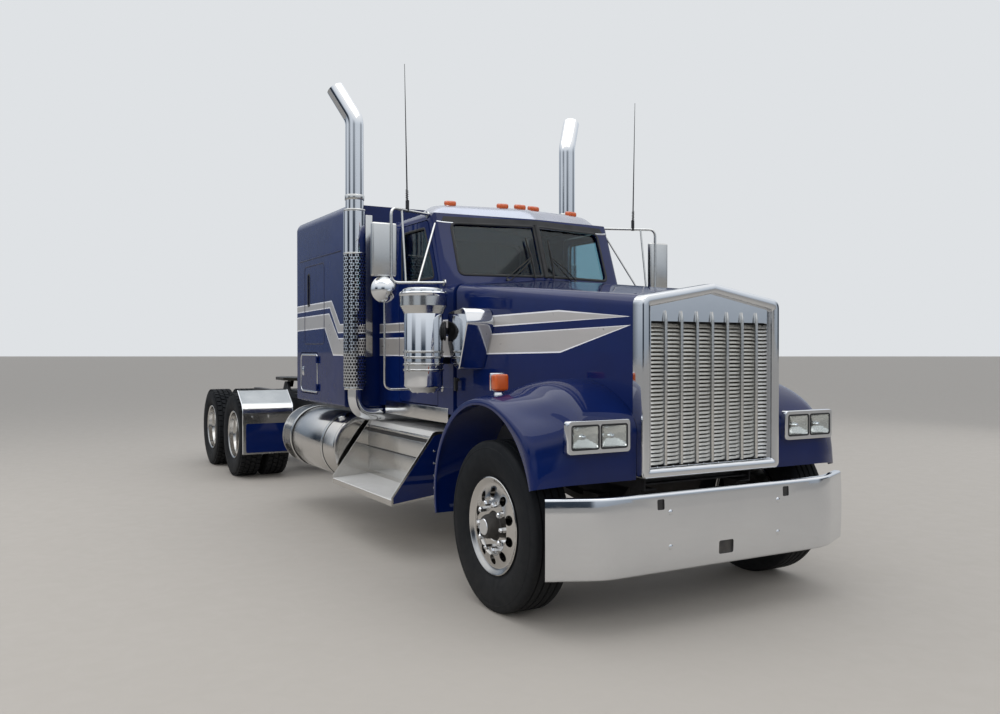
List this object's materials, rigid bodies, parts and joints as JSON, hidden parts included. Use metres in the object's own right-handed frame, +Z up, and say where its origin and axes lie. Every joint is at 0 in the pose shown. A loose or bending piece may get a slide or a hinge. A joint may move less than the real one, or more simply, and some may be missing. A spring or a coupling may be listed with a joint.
{
  "type": "semi truck tractor unit",
  "caption": "Long-nose semi truck tractor with a box sleeper, tall grille, upright exhaust stacks, side fuel tanks, steps, outside air cleaners, twin drive axles and a fifth wheel.",
  "frame": {"origin": "on the ground under the middle of the vehicle's overall length and width", "axes": "+X forward, +Y to the vehicle's left, +Z up"},
  "size_m": [9.712, 2.8, 3.9214],
  "materials": {
    "paint": "gloss navy",
    "black": "satin black",
    "chrome": "mirror polish",
    "aluminium": "polished",
    "iron": "painted dark",
    "tyre": "matte",
    "glass": "tinted",
    "rubber": "matte",
    "amber": "clear amber",
    "trim": "grained",
    "cloth": "woven"
  },
  "bodies": {
    "chassis": {"frame": "black", "engine_block": "iron", "radiator": "black", "front_axle": "iron", "front_springs": "iron", "rear_suspension": "iron", "drive_axles": "iron", "driveshaft": "iron", "bumper": "chrome", "fuel_tanks": "aluminium", "side_steps": "aluminium", "fifth_wheel_base": "iron", "quarter_fenders": "chrome", "rear_bar": "black", "mud_flaps": "rubber", "cab_shell": "paint", "fixed_glass": "glass", "dashboard": "trim", "steering_wheel": "trim", "seats": "cloth", "visor": "paint", "marker_lamps": "amber", "sleeper_shell": "paint", "air_cleaners": "chrome", "exhaust_stacks": "chrome", "mirrors": "chrome"},
    "fifth_wheel": {"fifth_wheel_plate": "iron"},
    "door_right": {"door_right": "paint", "door_glass_right": "glass"},
    "door_left": {"door_left": "paint", "door_glass_left": "glass"},
    "locker_lid_right": {"locker_lid_right": "paint"},
    "locker_lid_left": {"locker_lid_left": "paint"},
    "hood": {"hood_panel": "paint", "fenders": "paint", "grille_shell": "chrome", "grille_bars": "chrome", "headlamps": "chrome", "turn_signals": "amber", "intake_covers": "chrome"},
    "knuckle_right": {"knuckle_right": "iron"},
    "knuckle_left": {"knuckle_left": "iron"},
    "tie_rod": {"tie_rod": "iron"},
    "front_wheel_right": {"wheel_front_right": "chrome", "tyre_front_right": "tyre"},
    "front_wheel_left": {"wheel_front_left": "chrome", "tyre_front_left": "tyre"},
    "drive_wheels_1_right": {"wheels_drive_1_right": "chrome", "tyres_drive_1_right": "tyre"},
    "drive_wheels_1_left": {"wheels_drive_1_left": "chrome", "tyres_drive_1_left": "tyre"},
    "drive_wheels_2_right": {"wheels_drive_2_right": "chrome", "tyres_drive_2_right": "tyre"},
    "drive_wheels_2_left": {"wheels_drive_2_left": "chrome", "tyres_drive_2_left": "tyre"}
  },
  "joints": [
    {"name": "steer_right", "type": "hinge", "parent": "chassis", "child": "knuckle_right", "pos_m": [4.05, -0.872, 0.525], "axis": [0, 0, 1], "range_deg": [-35, 35]},
    {"name": "steer_left", "type": "hinge", "parent": "chassis", "child": "knuckle_left", "pos_m": [4.05, 0.872, 0.525], "axis": [0, 0, 1], "range_deg": [-35, 35]},
    {"name": "tie_rod_slide", "type": "slide", "parent": "chassis", "child": "tie_rod", "axis": [0, 1, 0], "range_m": [-0.12, 0.12]},
    {"name": "front_spin_right", "type": "hinge", "parent": "knuckle_right", "child": "front_wheel_right", "pos_m": [4.05, -1.05, 0.525], "axis": [0, 1, 0], "continuous": true},
    {"name": "front_spin_left", "type": "hinge", "parent": "knuckle_left", "child": "front_wheel_left", "pos_m": [4.05, 1.05, 0.525], "axis": [0, 1, 0], "continuous": true},
    {"name": "drive_spin_1_right", "type": "hinge", "parent": "chassis", "child": "drive_wheels_1_right", "pos_m": [-2.69, -0.9235, 0.525], "axis": [0, 1, 0], "continuous": true},
    {"name": "drive_spin_1_left", "type": "hinge", "parent": "chassis", "child": "drive_wheels_1_left", "pos_m": [-2.69, 0.9235, 0.525], "axis": [0, 1, 0], "continuous": true},
    {"name": "drive_spin_2_right", "type": "hinge", "parent": "chassis", "child": "drive_wheels_2_right", "pos_m": [-4.01, -0.9235, 0.525], "axis": [0, 1, 0], "continuous": true},
    {"name": "drive_spin_2_left", "type": "hinge", "parent": "chassis", "child": "drive_wheels_2_left", "pos_m": [-4.01, 0.9235, 0.525], "axis": [0, 1, 0], "continuous": true},
    {"name": "hood_tilt", "type": "hinge", "parent": "chassis", "child": "hood", "pos_m": [4.67, 0, 0.805], "axis": [0, 1, 0], "range_deg": [0, 55]},
    {"name": "door_right_swing", "type": "hinge", "parent": "chassis", "child": "door_right", "pos_m": [2.614, -0.863, 1.9], "axis": [0, 0, 1], "range_deg": [0, 65]},
    {"name": "door_left_swing", "type": "hinge", "parent": "chassis", "child": "door_left", "pos_m": [2.614, 0.863, 1.9], "axis": [0, 0, -1], "range_deg": [0, 65]},
    {"name": "locker_lid_right_swing", "type": "hinge", "parent": "chassis", "child": "locker_lid_right", "pos_m": [0.614, -1.173, 1.38], "axis": [0, 0, 1], "range_deg": [0, 100]},
    {"name": "locker_lid_left_swing", "type": "hinge", "parent": "chassis", "child": "locker_lid_left", "pos_m": [0.614, 1.173, 1.38], "axis": [0, 0, -1], "range_deg": [0, 100]},
    {"name": "fifth_wheel_tilt", "type": "hinge", "parent": "chassis", "child": "fifth_wheel", "pos_m": [-3.15, 0, 1.13], "axis": [0, 1, 0], "range_deg": [-10, 10]}
  ],
  "couplings": [
    {"joint": "steer_left", "follows": "steer_right", "ratio": 1},
    {"joint": "tie_rod_slide", "follows": "steer_right", "m_per_rad": -0.19}
  ]
}
